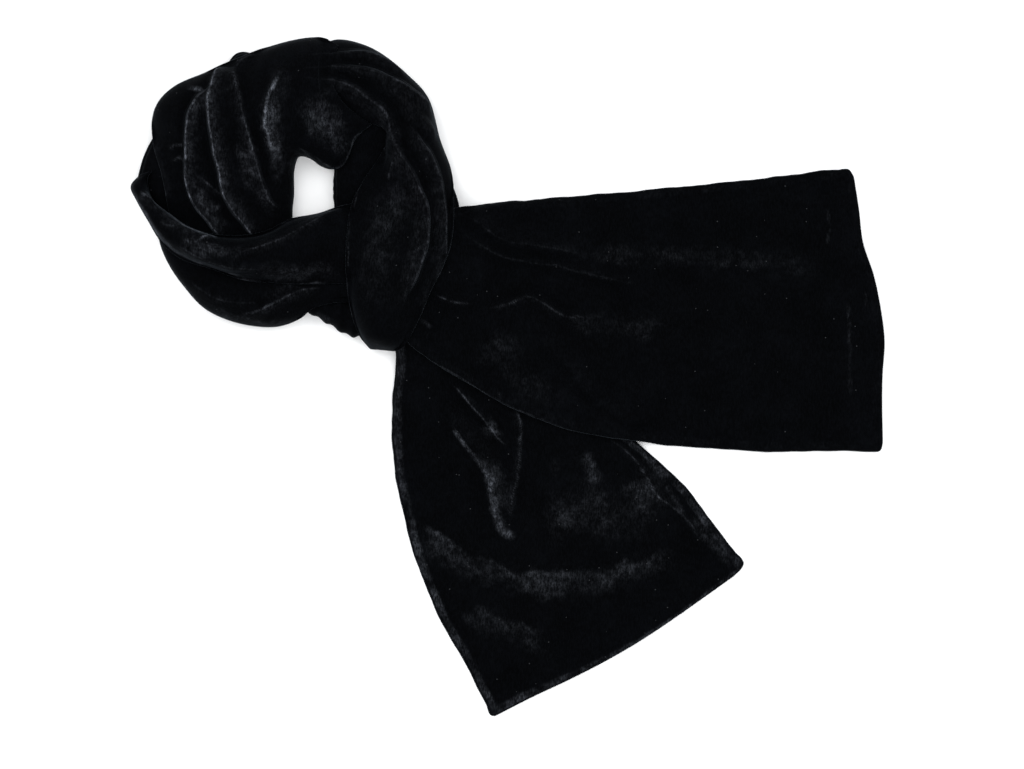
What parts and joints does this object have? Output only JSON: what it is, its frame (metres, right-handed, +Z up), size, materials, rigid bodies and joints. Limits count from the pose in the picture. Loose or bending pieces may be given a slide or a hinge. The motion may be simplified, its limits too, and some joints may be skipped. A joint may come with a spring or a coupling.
{
  "type": "velvet scarf",
  "caption": "Black velvet scarf, folded in half, looped through itself and laid flat with its tails fanned out.",
  "frame": {"origin": "on the table, under the middle of the laid scarf", "axes": "+X towards the right tail, +Y towards the top of the ring, +Z up from the table"},
  "size_m": [0.541, 0.4864, 0.0406],
  "materials": {
    "black_velvet": "short dense pile with a soft sheen"
  },
  "bodies": {
    "root": {"hidden_layers": "black_velvet", "lower_tail": "black_velvet", "gathered_bight": "black_velvet", "under_turn": "black_velvet", "left_turn": "black_velvet", "lower_turn": "black_velvet", "right_tail": "black_velvet", "crossing_turn": "black_velvet"}
  },
  "joints": []
}
